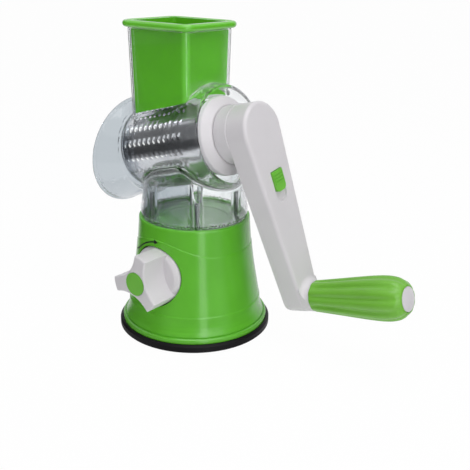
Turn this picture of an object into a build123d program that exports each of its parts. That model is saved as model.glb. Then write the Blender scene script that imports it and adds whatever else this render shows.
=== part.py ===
from build123d import *
from math import cos, pi, radians, sin, tan
import os

# Rotary drum shredder with a suction base, a clear housing and a hand crank.
# Millimetres and degrees. +Z is up, the origin is the middle of the pad's underside,
# the crank is on the +X side and the suction knob on the -Y side.

# ------------------------------------------------------------------ driving dimensions

# base
PAD_R = 65.7                # rubber pad: the base is about 130 mm across
PAD_LIP_TOP = 6.8           # outer lip, which stands round the body's foot
PAD_LIP_R = 63.2            # inside of that lip
PAD_SEAT = 5.2              # ledge that the body stands on
PAD_SEAT_R = 56.0
PAD_DISC_TOP = 3.0
FOOT_R = 62.6               # lower edge of the moulded body
LIP_TOP = 11.2
CREASE_Z = 27.4             # fine step round the skirt
BASE_TOP = 98.9
BASE_TOP_R = 46.9
DECK_TOP = 94.4
PLATE_TOP = 8.2
PLATE_DOME_R = 18.0         # dome of the floor plate, over the foot of the lift post
PLATE_DOME_TOP = 12.2
PLATE_WALL = 2.0
GUIDE_R = 9.0
GUIDE_TOP = 32.0
SCREW_RING = 48.0           # circle of the screws that hold the floor plate
SCREW_ANGLES = (0, 90, 180, 270)
BASE_WALL = 2.6
STEP_Z = 75.8               # raised line round the sides, which arches over the knob
STEP_ARCH = 12.0
STEP_OUT = 0.45

# drum axis, tilted so that the outlet is lower than the crank end
TILT = 15.04
AXIS_X = -6.2
AXIS_Z = 159.9

# clear housing
BORE_R = 33.0
BARREL_R = 36.0
WALL = 2.2
BELL_START = -36.0          # along the drum axis
RIM_R = 47.0
RIM_CENTRE = (-71.4, 143.5)
RIM_TILT = -7.24            # the lower lip reaches out as a spout
COLLAR_U = 46.4
ROOF_E = -17.0              # the neck's shoulder, below the drum axis
CHUTE_X = -14.9
CHUTE_TOP = 250.5
CHUTE_HALF = (33.0, 29.1)
CHUTE_CORNER = 7.0
DRAFT = 1.1
POST_R = 35.5               # circle of the screw posts
POST_ANGLES = (45, 135, 225, 315)

# pusher
PUSH_GAP = 0.5
RIM_BEAD_Z = 253.7
RIM_BEAD_HALF = (34.4, 30.5)
RIM_BEAD_R = 2.7
PUSH_EDGE_E = 30.5          # above the drum axis, at the long sides
PUSH_CROWN_E = 33.8         # in the middle of the hollowed underside

# drum
DRUM_R = 29.9
DRUM_SHEET = 0.6
DRUM_START = -48.5
DRUM_END = 38.0
HOLE_ROWS = 16
HOLES_IN_ROW = 12
HOLE_FIRST = -42.8
HOLE_PITCH = 5.63
HOLE_SIZE = (2.5, 3.5)      # along the drum and round it
TOOTH_RISE = 0.8
CAP_R = 31.5
SHAFT_SIDE = 11.0           # square drive shaft
SHAFT_END = 72.0

# crank
HUB_R = 23.1
HUB_START = 48.0
ARM_INNER = 60.4
ARM_OUTER = 79.8
ARM_BIG_R = 22.6
ARM_SMALL_R = 12.7
THROW = 141.0
HANG = 8.7                  # how far the arm hangs from straight down, towards +Y
ARM_EDGE = 3.0
COLLAR_END = 85.6
COVER = 2.4
COVER_SCREWS = ((54.0, 9.0), (54.0, -9.0), (104.0, 0.0))    # down and across the arm

# release button
BUTTON_START = 32.3         # from the drum axis, down the arm
BUTTON_LENGTH = 16.5
BUTTON_WIDTH = 13.0
BUTTON_TRAVEL = 6.0
BUTTON_GAP = 0.4
RECESS_SPARE = 2.4          # room past the button's last place, for the recess's round end
LATCH_BOTTOM = 8.0          # sliding latch, from the arm's inner face
LATCH_TOP = 11.2

# grip
GRIP_END = 166.6
FLUTES = 10
PIN_R = 4.0
PIN_SEAT = 6.0              # from the arm's inner face
PIN_HEAD_R = 5.4
PIN_END = 97.5
GRIP_CAP_R = 9.45
GRIP_CAP_SEAT = 102.6

# suction knob
KNOB_Z = 56.9
KNOB_R = 24.4
KNOB_SEAT = 43.0            # from the base's axis
KNOB_FACE = 72.2
KNOB_LOBES = (75, 195, 315)
SHAFT_R = 5.0
CAM_R = 8.0
CAM_THROW = 3.0

CLEAR = 0.35                # between pieces that move past each other
FITTED = 0.02               # between pieces that are fixed to each other


# ------------------------------------------------------------------ frames and helpers

ALONG = Vector(cos(radians(TILT)), 0, sin(radians(TILT)))
DRUM_ORIGIN = Vector(AXIS_X, 0, AXIS_Z)


def drum_frame(u=0.0):
    """Plane across the drum axis: local x is +Y, local y is up, local z runs to the crank."""
    return Plane(origin=DRUM_ORIGIN + ALONG * u, x_dir=(0, 1, 0), z_dir=ALONG)


def arm_frame():
    """Plane of the arm's inner face: local x runs down the arm, local z out to the grip."""
    up = Vector(-sin(radians(TILT)), 0, cos(radians(TILT)))
    down_the_arm = Vector(0, sin(radians(HANG)), 0) - up * cos(radians(HANG))
    return Plane(origin=DRUM_ORIGIN + ALONG * ARM_INNER, x_dir=down_the_arm, z_dir=ALONG)


def knob_frame():
    """Local z points out of the base towards the user, local y is up."""
    return Plane(origin=(0, 0, KNOB_Z), x_dir=(1, 0, 0), z_dir=(0, -1, 0))


def turned(*runs):
    """Solid turned about +Z. Each run is a line or curve through (radius, height) points."""
    edges = [edge for run in runs for edge in run.edges()]
    return revolve(Plane.XZ * make_face(edges), Axis.Z)


def rod(radius, start, end):
    """Cylinder along +Z from one height to the other."""
    return Pos(0, 0, start) * Cylinder(radius, end - start, align=(Align.CENTER, Align.CENTER, Align.MIN))


def bar(length, width, start, end):
    """Square-ended block, centred on +Z, from one height to the other."""
    return Pos(0, 0, start) * Box(length, width, end - start, align=(Align.CENTER, Align.CENTER, Align.MIN))


def tapered_box(half, corner, bottom, top, at_top):
    """Rounded rectangular block that narrows downwards by the moulding draft."""
    def section(z):
        inset = (at_top - z) * tan(radians(DRAFT))
        return Pos(CHUTE_X, 0, z) * RectangleRounded(2 * (half[0] - inset), 2 * (half[1] - inset), corner)
    return loft([section(bottom), section(top)])


# ------------------------------------------------------------------ base

SKIRT = ((60.2, LIP_TOP), (58.4, 15.0), (57.3, 18.5), (56.7, 22.5), (56.35, CREASE_Z))
FLANK = ((56.0, CREASE_Z), (54.2, 38.0), (51.3, 55.0), (49.0, 72.6), (48.0, 84.0), (BASE_TOP_R, BASE_TOP))


def base_outer(out=0.0):
    """Outer form of the base, offset outwards by a given amount."""
    foot = Polyline((BASE_TOP_R + out, BASE_TOP), (0, BASE_TOP), (0, PAD_SEAT), (FOOT_R + out, PAD_SEAT),
                    (62.4 + out, 9.0), (61.6 + out, 10.7), (60.2 + out, LIP_TOP))
    skirt = Spline(*[(r + out, z) for r, z in SKIRT])
    crease = Line((SKIRT[-1][0] + out, CREASE_Z), (FLANK[0][0] + out, CREASE_Z))
    flank = Spline(*[(r + out, z) for r, z in FLANK])
    return turned(foot, skirt, crease, flank)


def base_body():
    outer = base_outer()
    side_band = Pos(0, 0, PAD_SEAT) * Cylinder(70, STEP_Z - PAD_SEAT,
                                                  align=(Align.CENTER, Align.CENTER, Align.MIN))
    arch_curve = Spline((-43.4, STEP_Z), (-29.7, STEP_Z + 5.4), (-10.1, STEP_Z + 10.9), (0, STEP_Z + STEP_ARCH),
                        (10.1, STEP_Z + 10.9), (29.7, STEP_Z + 5.4), (43.4, STEP_Z))
    arch_foot = Polyline((43.4, STEP_Z), (43.4, 40), (-43.4, 40), (-43.4, STEP_Z))
    arch = extrude(Plane.XZ * make_face(arch_curve.edges() + arch_foot.edges()), 60)
    outer += base_outer(STEP_OUT) & (side_band + arch)
    inner = base_outer(-BASE_WALL) - rod(80, DECK_TOP - BASE_WALL, 120) + rod(FOOT_R - BASE_WALL, 0, 8)
    well = rod(BASE_TOP_R - BASE_WALL, DECK_TOP, 110)
    pocket = knob_frame() * rod(KNOB_R + 3.0, KNOB_SEAT - BASE_WALL, 70)
    body = outer - inner - well + (outer & pocket)
    body -= knob_frame() * rod(KNOB_R + 0.6, KNOB_SEAT, 80)
    body -= knob_frame() * rod(SHAFT_R + CLEAR, 30, 60)
    for angle in POST_ANGLES:
        body -= Rot(0, 0, angle) * Pos(POST_R, 0, 0) * rod(2.0, 80, 110)
    for angle in SCREW_ANGLES:
        boss = rod(4.0, PLATE_TOP, 26) + Pos(3.5, 0, 0) * bar(7, 2.4, PLATE_TOP, 24) - rod(1.55, 0, 22)
        body += Rot(0, 0, angle) * Pos(SCREW_RING, 0, 0) * boss
    return body


def suction_pad():
    return turned(Polyline((0, 0), (PAD_R - 0.8, 0), (PAD_R, 0.8), (PAD_R, 5.0), (PAD_R - 1.4, PAD_LIP_TOP),
                           (PAD_LIP_R, PAD_LIP_TOP), (PAD_LIP_R, PAD_SEAT), (PAD_SEAT_R + 2, PAD_SEAT),
                           (PAD_SEAT_R, PAD_DISC_TOP), (0, PAD_DISC_TOP), (0, 0)))


def base_plate():
    """Floor inside the base, raised in the middle over the foot of the lift post."""
    plate = rod(FOOT_R - BASE_WALL - 0.5, PAD_SEAT, PLATE_TOP) + rod(PLATE_DOME_R, PAD_SEAT, PLATE_DOME_TOP)
    plate += rod(GUIDE_R, PLATE_DOME_TOP - 1, GUIDE_TOP)
    plate -= rod(PLATE_DOME_R - PLATE_WALL, 0, PLATE_DOME_TOP - 2.4) + rod(SHAFT_R + CLEAR, 0, GUIDE_TOP + 1)
    for angle in SCREW_ANGLES:
        plate -= Rot(0, 0, angle) * Pos(SCREW_RING, 0, 0) * rod(1.8, 5.0, 20)
    return plate


def base_screws():
    screws = []
    for angle in SCREW_ANGLES:
        screw = rod(3.4, 3.3, PAD_SEAT) + rod(1.5, PAD_SEAT, 20)
        screws.append(Rot(0, 0, angle) * Pos(SCREW_RING, 0, 0) * screw)
    return Compound(children=screws)


# ------------------------------------------------------------------ clear housing

def bell_section(k, thickness):
    """Disc across the outlet at a share k of its length, less the wall thickness."""
    start = DRUM_ORIGIN + ALONG * BELL_START
    finish = Vector(RIM_CENTRE[0], 0, RIM_CENTRE[1])
    tilt = radians(TILT + (RIM_TILT - TILT) * k)
    radius = BARREL_R + (RIM_R - BARREL_R) * max(k, 0.0) ** 1.4
    plane = Plane(origin=start + (finish - start) * k, x_dir=(0, 1, 0), z_dir=(cos(tilt), 0, sin(tilt)))
    return plane * Circle(radius - thickness)


def barrel_outer():
    flare = Spline((35.4, 8.0), (36.0, 12.5), (37.9, 18.3), (40.0, 24.6), (41.3, 31.0), (41.8, 37.0),
                   (41.4, 42.0), (39.9, COLLAR_U))
    rest = Polyline((39.9, COLLAR_U), (0, COLLAR_U), (0, BELL_START), (BARREL_R, BELL_START), (35.4, 8.0))
    return drum_frame() * turned(flare, rest)


def barrel_bore():
    flare = Spline((BORE_R, 24.0), (33.3, 31.0), (34.6, 37.0), (36.6, 42.5), (38.6, COLLAR_U))
    rest = Polyline((38.6, COLLAR_U), (38.6, 60), (0, 60), (0, BELL_START), (BORE_R, BELL_START), (BORE_R, 24.0))
    return drum_frame() * turned(flare, rest)


def neck(inset, roof):
    """Tapered neck under the barrel, cut off by a shoulder parallel to the drum axis."""
    flank = Spline((46.2 - inset, BASE_TOP), (44.1 - inset, 111.5), (42.6 - inset, 123.6), (41.0 - inset, 134),
                   (39.8 - inset, 150))
    rest = Polyline((39.8 - inset, 150), (0, 150), (0, BASE_TOP), (46.2 - inset, BASE_TOP))
    above = drum_frame(-60) * Pos(0, roof + 60, 0) * bar(200, 120, 0, 160)
    return turned(flank, rest) - above


def housing():
    body = barrel_outer() + loft([bell_section(k, 0) for k in (0, 0.35, 0.7, 1)])
    body += neck(0, ROOF_E) - neck(WALL, ROOF_E - 4)
    body += turned(Polyline((43.5, 95.2), (43.5, BASE_TOP), (45.0, BASE_TOP), (45.0, BASE_TOP + 2.5),
                            (41.8, BASE_TOP + 2.5), (41.8, 95.2), (43.5, 95.2)))
    body += tapered_box(CHUTE_HALF, CHUTE_CORNER, AXIS_Z + 2, CHUTE_TOP, CHUTE_TOP)
    for angle in POST_ANGLES:
        body += Rot(0, 0, angle) * Pos(POST_R, 0, 0) * rod(4.2, DECK_TOP, 140)
    rim = Plane(origin=(RIM_CENTRE[0], 0, RIM_CENTRE[1]), x_dir=(0, 1, 0),
                z_dir=(cos(radians(RIM_TILT)), 0, sin(radians(RIM_TILT))))
    body += rim * Torus(RIM_R - 1.0, 1.5)
    body -= barrel_bore()
    body -= loft([bell_section(k, 3.0 - 0.8 * k) for k in (0, 0.35, 0.7, 1)])
    inner_half = (CHUTE_HALF[0] - WALL, CHUTE_HALF[1] - WALL)
    body -= tapered_box(inner_half, CHUTE_CORNER - WALL, AXIS_Z, CHUTE_TOP + 5, CHUTE_TOP)
    for angle in POST_ANGLES:
        body -= Rot(0, 0, angle) * Pos(POST_R, 0, 0) * rod(1.6, 80, 119)
    return body


def housing_screws():
    screws = []
    for angle in POST_ANGLES:
        screw = rod(3.3, 88.8, DECK_TOP - BASE_WALL) + rod(1.55, DECK_TOP - BASE_WALL, 118)
        screws.append(Rot(0, 0, angle) * Pos(POST_R, 0, 0) * screw)
    return Compound(children=screws)


# ------------------------------------------------------------------ pusher

def hollow_cutter(extra):
    """Large cylinder along the drum, which hollows the pusher's underside."""
    half_width = CHUTE_HALF[1] - WALL - PUSH_GAP
    drop = PUSH_CROWN_E - PUSH_EDGE_E
    radius = (half_width ** 2 + drop ** 2) / (2 * drop)
    return drum_frame() * Pos(0, PUSH_CROWN_E - radius, -90) * rod(radius + extra, 0, 180)


def pusher():
    outer_half = (CHUTE_HALF[0] - WALL - PUSH_GAP, CHUTE_HALF[1] - WALL - PUSH_GAP)
    inner_half = (outer_half[0] - 2.0, outer_half[1] - 2.0)
    corner = CHUTE_CORNER - WALL - PUSH_GAP
    top = RIM_BEAD_Z + RIM_BEAD_R - 0.5
    cup = tapered_box(outer_half, corner, 170, top, CHUTE_TOP)
    path = Pos(CHUTE_X, 0, RIM_BEAD_Z) * RectangleRounded(2 * RIM_BEAD_HALF[0], 2 * RIM_BEAD_HALF[1], 8.4)
    start = Plane(origin=(CHUTE_X, -RIM_BEAD_HALF[1], RIM_BEAD_Z), x_dir=(0, 1, 0), z_dir=(1, 0, 0))
    cup += sweep(start * Circle(RIM_BEAD_R), path.face().outer_wire())
    cup += extrude(path, RIM_BEAD_R - 0.5)
    cup -= hollow_cutter(0)
    cup -= tapered_box(inner_half, corner - 1.5, 170, top + 2, CHUTE_TOP) - hollow_cutter(2.2)
    return cup


# ------------------------------------------------------------------ drum

def drum_panel():
    """One row of the perforated sheet: each hole has a cutting tooth that ramps up to its edge."""
    step = 2 * pi / HOLE_ROWS
    reach = DRUM_R + 5
    wedge_edges = Polyline((0, 0), (reach * cos(step / 2), -reach * sin(step / 2)),
                           (reach * cos(step / 2), reach * sin(step / 2)), (0, 0)).edges()
    wedge = Pos(0, 0, DRUM_START) * extrude(make_face(wedge_edges), DRUM_END - DRUM_START)
    panel = (rod(DRUM_R, DRUM_START, DRUM_END) & wedge) - rod(DRUM_R - DRUM_SHEET, DRUM_START - 1, DRUM_END + 1)
    width, length = HOLE_SIZE
    hole_face = Plane.YZ * Polygon((-length / 2, 0), (-length / 4, width / 2), (length / 4, width / 2),
                                   (length / 2, 0), (length / 4, -width / 2), (-length / 4, -width / 2))
    hole = extrude(hole_face, reach)
    ramp_face = make_face(Polyline((DRUM_R - 0.4, length / 2 + 1.6), (DRUM_R - 0.4, length / 2 - 0.6),
                                   (DRUM_R + TOOTH_RISE, length / 2 - 0.6), (DRUM_R - 0.4, length / 2 + 1.6)).edges())
    ramp = Pos(0, 0, -width / 2) * extrude(ramp_face, width)
    spots = [Pos(0, 0, HOLE_FIRST + place * HOLE_PITCH) for place in range(HOLES_IN_ROW)]
    return panel - [spot * hole for spot in spots] + [spot * ramp for spot in spots]


def drum_shell():
    panel = drum_panel()
    rows = [Rot(0, 0, (row + 0.5) * 360 / HOLE_ROWS) * panel for row in range(HOLE_ROWS)]
    return drum_frame() * (Part() + rows)


def drum_front_ring():
    inner = DRUM_R + FITTED
    ring = turned(Polyline((inner, DRUM_START - 1.4), (inner + 1.2, DRUM_START - 0.6),
                           (inner + 1.2, DRUM_START + 1.0), (inner, DRUM_START + 1.6), (inner, DRUM_START),
                           (inner - 1.8, DRUM_START), (inner - 1.8, DRUM_START - 1.4), (inner, DRUM_START - 1.4)))
    return drum_frame() * ring


def drum_end_cap():
    """Moulded end of the drum: a shallow cone outside and a skirt inside the sheet."""
    cap = turned(Polyline((0, 47.6), (24.2, 47.6), (31.0, 43.2), (CAP_R, 42.4), (CAP_R, DRUM_END), (29.2, DRUM_END),
                          (29.2, 28.0), (26.8, 28.0), (26.8, 41.0), (0, 41.0), (0, 47.6)))
    cap += rod(10.5, 30, 42)
    cap -= Rot(0, 0, HANG) * bar(SHAFT_SIDE, SHAFT_SIDE, 34, 50)
    for angle in range(30, 390, 60):
        cap += Rot(0, 0, angle) * Pos(18.5, 0, 0) * bar(17.5, 1.8, 32, 42)
    return drum_frame() * cap


def drive_shaft():
    """Square shaft, fixed in the drum's end cap, on which the crank is pushed."""
    shaft = bar(SHAFT_SIDE, SHAFT_SIDE, 34, SHAFT_END)
    shaft = chamfer(shaft.edges().filter_by(Axis.Z), 1.2)
    groove = rod(20, 67.5, 70.5) - rod(SHAFT_SIDE / 2 - 0.9, 67.5, 70.5)
    return drum_frame() * Rot(0, 0, HANG) * (shaft - groove)


# ------------------------------------------------------------------ crank

def arm_outline(big, small, reach):
    circles = Circle(big).edges() + (Pos(reach, 0) * Circle(small)).edges()
    return make_hull(circles)


def crank_arm():
    depth = ARM_OUTER - ARM_INNER
    arm = extrude(arm_outline(ARM_BIG_R, ARM_SMALL_R, THROW), depth)
    arm = fillet(arm.faces().sort_by(Axis.Z)[-1].edges(), ARM_EDGE)
    heel_block = Pos(THROW + ARM_SMALL_R, 0, 0) * Box(14, 60, 14)
    heel_round = Pos(THROW + ARM_SMALL_R - 7, 0, 7) * Rot(90, 0, 0) * Cylinder(7, 60)
    arm -= heel_block - heel_round
    collar = Pos(THROW, 0, 0) * rod(ARM_SMALL_R - 0.2, 8, COLLAR_END - ARM_INNER)
    web_edges = Polyline((ARM_SMALL_R - 1, depth - 1), (ARM_SMALL_R + 4.8, depth - 1), (ARM_SMALL_R + 4.8, depth))
    web_curve = RadiusArc((ARM_SMALL_R + 4.8, depth), (ARM_SMALL_R - 0.2, depth + 5), 5)
    web_back = Polyline((ARM_SMALL_R - 0.2, depth + 5), (ARM_SMALL_R - 1, depth + 5), (ARM_SMALL_R - 1, depth - 1))
    web = Pos(THROW, 0, 0) * turned(web_edges, web_curve, web_back)
    inside_outline = extrude(arm_outline(ARM_BIG_R - 1, ARM_SMALL_R - 0.2, THROW), 40)
    arm += collar + (web & inside_outline)
    arm -= extrude(arm_outline(ARM_BIG_R - 3, 11.0, THROW - 24), depth - 2.8)
    for down, across in COVER_SCREWS:
        arm += Pos(down, across, 0) * (rod(3.6, COVER, depth - 2) - rod(1.55, 0, 9))
    for side in (-5.4, 5.4):
        arm += Pos(20, side, 0) * bar(14, 1.6, 6.5, depth - 2)
    arm -= Pos(THROW, 0, 0) * rod(PIN_R + FITTED, PIN_SEAT, 60)
    arm -= Pos(THROW, 0, 0) * rod(PIN_HEAD_R + 0.1, -1, PIN_SEAT)
    return arm_frame() * (arm - button_recess(depth))


def button_recess(depth):
    """Shallow round-ended recess, and the narrower slot that the button's stem runs in."""
    width = BUTTON_WIDTH + 2 * BUTTON_GAP
    start = BUTTON_START - BUTTON_GAP
    end = BUTTON_START + BUTTON_LENGTH + BUTTON_TRAVEL + RECESS_SPARE
    recess = Pos((start + end - width / 2) / 2, 0, depth - 1.9) * Box(
        end - start - width / 2, width, 4, align=(Align.CENTER, Align.CENTER, Align.MIN))
    recess += Pos(end - width / 2, 0, 0) * rod(width / 2, depth - 1.9, depth + 2)
    stem_slot = Pos(BUTTON_START + 8.0, 0, 0) * bar(15.4, 7.4, depth - 6, depth)
    return recess + stem_slot


def crank_cover():
    cover = extrude(arm_outline(ARM_BIG_R - 3.1, 10.9, THROW - 24), COVER)
    cover -= bar(SHAFT_SIDE + 6, SHAFT_SIDE + 6, -1, 5)
    for down, across in COVER_SCREWS:
        cover -= Pos(down, across, 0) * rod(1.6, -1, 5)
    return arm_frame() * cover


def cover_screws():
    screws = []
    for down, across in COVER_SCREWS:
        screw = rod(2.6, -1.2, 0) + rod(1.5, 0, 7)
        screws.append(arm_frame() * Pos(down, across, 0) * screw)
    return Compound(children=screws)


def crank_hub():
    hub = rod(HUB_R, HUB_START, ARM_INNER)
    hub = fillet(hub.faces().sort_by(Axis.Z)[0].edges(), 0.8)
    bore = SHAFT_SIDE + 2 * CLEAR
    hub -= Rot(0, 0, HANG) * bar(bore, bore, 40, 70)
    return drum_frame() * hub


def grip_pin():
    pin = rod(PIN_R, PIN_SEAT, PIN_END) + rod(PIN_HEAD_R, PIN_SEAT - 3, PIN_SEAT)
    return arm_frame() * Pos(THROW, 0, 0) * pin


def pin_screw():
    screw = rod(6.8, PIN_END, PIN_END + 1.2) + rod(4.2, PIN_END + 1.2, PIN_END + 3.7)
    return arm_frame() * Pos(THROW, 0, 0) * screw


def release_button():
    depth = ARM_OUTER - ARM_INNER
    head_start = depth - 1.9 + 0.3
    middle = BUTTON_START + BUTTON_LENGTH / 2
    head = Pos(middle, 0, 0) * bar(BUTTON_LENGTH, BUTTON_WIDTH, head_start, depth + 1.4)
    lower_corners = head.edges().filter_by(Axis.Z).sort_by(Axis.X)[-2:]
    head = fillet(lower_corners, 4.0)
    for ridge in range(4):
        head += Pos(BUTTON_START + 2.0 + 2.5 * ridge, 0, 0) * bar(1.1, BUTTON_WIDTH - 1.6, depth, depth + 2.1)
    head += Pos(BUTTON_START + 4.4, 0, 0) * bar(6.0, 6.6, LATCH_TOP, depth)
    return arm_frame() * head


def latch_slider():
    start = SHAFT_SIDE / 2 + 0.4
    end = BUTTON_START + 12.0
    slider = Pos((start + end) / 2, 0, 0) * bar(end - start, 8.0, LATCH_BOTTOM, LATCH_TOP)
    return arm_frame() * slider


GRIP_PROFILE = ((86.0, 12.7, 0.2), (90.0, 13.0, 0.7), (98.4, 13.8, 1.0), (112.4, 14.9, 1.1), (126.0, 16.0, 1.1),
                (139.2, 16.9, 1.1), (147.7, 17.2, 1.0), (156.0, 16.5, 0.8), (161.0, 15.0, 0.4), (164.4, 12.9, 0.1),
                (GRIP_END, 9.9, 0.0))


def grip_section(u, radius, flute):
    """Section of the grip with shallow flutes round it."""
    points = []
    for step in range(FLUTES * 4):
        angle = 2 * pi * step / (FLUTES * 4)
        r = radius - flute * (1 - cos(FLUTES * angle)) / 2
        points.append((r * cos(angle), r * sin(angle)))
    return Pos(0, 0, u - ARM_INNER) * make_face(Spline(*points, periodic=True).edges())


def grip():
    body = loft([grip_section(u, radius, flute) for u, radius, flute in GRIP_PROFILE])
    body -= rod(PIN_R + CLEAR, 0, 120) + rod(8.0, PIN_END - 0.9, 120)
    body -= rod(GRIP_CAP_R + 0.05, GRIP_CAP_SEAT, 120)
    return arm_frame() * Pos(THROW, 0, 0) * body


def grip_cap():
    cap = rod(GRIP_CAP_R, GRIP_CAP_SEAT, GRIP_END - ARM_INNER)
    cap += Pos(0, 0, GRIP_END - ARM_INNER - 30) * (Sphere(32.0) & rod(GRIP_CAP_R, 28, 40))
    return arm_frame() * Pos(THROW, 0, 0) * cap


# ------------------------------------------------------------------ suction knob and lift

def knob():
    """Round flange with a three-lobed handle: a disc with three hollows cut in its side."""
    flange = rod(KNOB_R, KNOB_SEAT + CLEAR, 46.6)
    handle = rod(KNOB_R, 46.6, KNOB_FACE)
    for lobe in KNOB_LOBES:
        handle -= Rot(0, 0, lobe + 60) * Pos(39.9, 0, 0) * rod(28.4, 46.6, 80)
    handle = fillet(handle.faces().sort_by(Axis.Z)[-1].edges(), 1.0)
    body = flange + handle
    body -= rod(SHAFT_R, 30, 62) + rod(2.2, 60, 80) + rod(4.6, 66, 80) + rod(9.6, 70.4, 80)
    return knob_frame() * body


def knob_cap():
    return knob_frame() * rod(9.55, 70.4, KNOB_FACE + 0.4)


def knob_screw():
    return knob_frame() * (rod(4.2, 66, 68.8) + rod(2.1, 50, 66))


def cam_shaft():
    shaft = rod(SHAFT_R, -9, 62)
    shaft += Pos(-CAM_THROW, 0, 0) * rod(CAM_R, -4, 4)
    shaft -= rod(2.2, 49, 70)
    return knob_frame() * shaft


def lift_post():
    foot = rod(14.0, PAD_DISC_TOP + 0.3, 6.0)
    post = foot + rod(SHAFT_R, 5.0, 45)
    window_top = KNOB_Z + CAM_R + 1.0
    yoke = Pos(0, 0, 44) * Box(31, 7.0, window_top + 4 - 44, align=(Align.CENTER, Align.CENTER, Align.MIN))
    yoke -= Pos(0, 0, 47.5) * Box(25, 20, window_top - 47.5, align=(Align.CENTER, Align.CENTER, Align.MIN))
    return post + yoke


# ------------------------------------------------------------------ nodes

NODES = {
    "suction_pad": suction_pad,
    "base_plate": base_plate,
    "base_screws": base_screws,
    "base_body": base_body,
    "housing": housing,
    "housing_screws": housing_screws,
    "pusher": pusher,
    "drum_shell": drum_shell,
    "drum_front_ring": drum_front_ring,
    "drum_end_cap": drum_end_cap,
    "drive_shaft": drive_shaft,
    "crank_arm": crank_arm,
    "crank_cover": crank_cover,
    "cover_screws": cover_screws,
    "crank_hub": crank_hub,
    "grip_pin": grip_pin,
    "pin_screw": pin_screw,
    "release_button": release_button,
    "latch_slider": latch_slider,
    "grip": grip,
    "grip_cap": grip_cap,
    "knob": knob,
    "knob_cap": knob_cap,
    "knob_screw": knob_screw,
    "cam_shaft": cam_shaft,
    "lift_post": lift_post,
}

os.makedirs("parts", exist_ok=True)
for name, make in NODES.items():
    export_step(make(), f"parts/{name}.step")
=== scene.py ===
from math import cos, pi, radians, sin, tan

import bmesh
import bpy
import numpy as np
from mathutils import Matrix, Vector


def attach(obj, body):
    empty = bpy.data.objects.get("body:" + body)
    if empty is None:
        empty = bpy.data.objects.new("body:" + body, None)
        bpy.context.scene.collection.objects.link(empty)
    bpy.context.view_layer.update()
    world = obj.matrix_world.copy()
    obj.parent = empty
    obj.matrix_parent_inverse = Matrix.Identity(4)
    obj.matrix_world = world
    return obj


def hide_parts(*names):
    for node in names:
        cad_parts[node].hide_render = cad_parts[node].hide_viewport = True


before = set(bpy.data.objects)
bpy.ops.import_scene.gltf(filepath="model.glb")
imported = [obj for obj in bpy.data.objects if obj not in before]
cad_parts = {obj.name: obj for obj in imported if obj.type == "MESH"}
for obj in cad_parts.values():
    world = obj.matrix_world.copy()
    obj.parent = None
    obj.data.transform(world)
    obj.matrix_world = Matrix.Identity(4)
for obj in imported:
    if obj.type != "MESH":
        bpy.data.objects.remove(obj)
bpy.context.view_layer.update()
MM = 0.001

# ---------------------------------------------------------------- places, in millimetres

TILT = radians(15.04)                       # the drum axis climbs towards the crank
DRUM_CENTRE = np.array((-6.2, 0.0, 159.9))
ALONG = np.array((cos(TILT), 0.0, sin(TILT)))
RISE = np.array((-sin(TILT), 0.0, cos(TILT)))
SIDE = np.array((0.0, 1.0, 0.0))
HANG = radians(8.7)                         # the arm hangs a little towards the back
ARM_DOWN = SIDE * sin(HANG) - RISE * cos(HANG)
ARM_INNER = 60.4                            # the arm's inner face, along the drum axis
THROW = 141.0                               # drum axis to grip axis
KNOB_Z = 56.9


def drum_place(points):
    """Points as (sideways, up, along the drum axis) to the frame's x, y, z."""
    x, y, u = np.moveaxis(np.asarray(points, float), -1, 0)[..., None]
    return DRUM_CENTRE + x * SIDE + y * RISE + u * ALONG


def arm_place(points):
    """Points as (down the arm, across it, outwards from its inner face) to x, y, z."""
    x, y, w = np.moveaxis(np.asarray(points, float), -1, 0)[..., None]
    across = np.cross(ALONG, ARM_DOWN)
    return DRUM_CENTRE + ALONG * ARM_INNER + x * ARM_DOWN + y * across + w * ALONG


def knob_place(points):
    """Points as (right, up, out of the base) to x, y, z."""
    x, y, out = np.moveaxis(points, -1, 0)
    return np.stack((x, -out, KNOB_Z + y), -1)


# ---------------------------------------------------------------- camera

CAMERA_AZIMUTH = radians(41.66)
CAMERA_REACH, CAMERA_HEIGHT = 603.1, 302.02
PICTURE_WIDTH, FOCAL_PIXELS = 470, 745.97
FILM_WIDTH = 36
PITCH, YAW, ROLL = radians(20.3), radians(3.3), radians(0.87)


def make_camera():
    """Camera at the photograph's place: turned by yaw, tipped down by pitch, then rolled."""
    level = np.array((-sin(CAMERA_AZIMUTH), cos(CAMERA_AZIMUTH), 0.0))
    right = np.array((cos(CAMERA_AZIMUTH), sin(CAMERA_AZIMUTH), 0.0))
    ahead = level * cos(YAW) + right * sin(YAW)
    right = right * cos(YAW) - level * sin(YAW)
    look = ahead * cos(PITCH) - np.array((0, 0, sin(PITCH)))
    up = np.cross(right, look)
    right, up = right * cos(ROLL) + up * sin(ROLL), up * cos(ROLL) - right * sin(ROLL)
    place = np.array((sin(CAMERA_AZIMUTH) * CAMERA_REACH, -cos(CAMERA_AZIMUTH) * CAMERA_REACH,
                      CAMERA_HEIGHT)) * MM

    camera = bpy.data.objects.new("camera", bpy.data.cameras.new("camera"))
    camera.data.sensor_width = FILM_WIDTH
    camera.data.lens = FILM_WIDTH * (FOCAL_PIXELS / PICTURE_WIDTH)
    camera.data.clip_start, camera.data.clip_end = 0.01, 20
    turned_by = np.eye(4)
    for column, axis in enumerate((right, up, -look, place)):
        turned_by[:3, column] = axis
    camera.matrix_world = Matrix(turned_by.tolist())
    bpy.context.scene.collection.objects.link(camera)
    bpy.context.scene.camera = camera


# ---------------------------------------------------------------- shader maths

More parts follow.
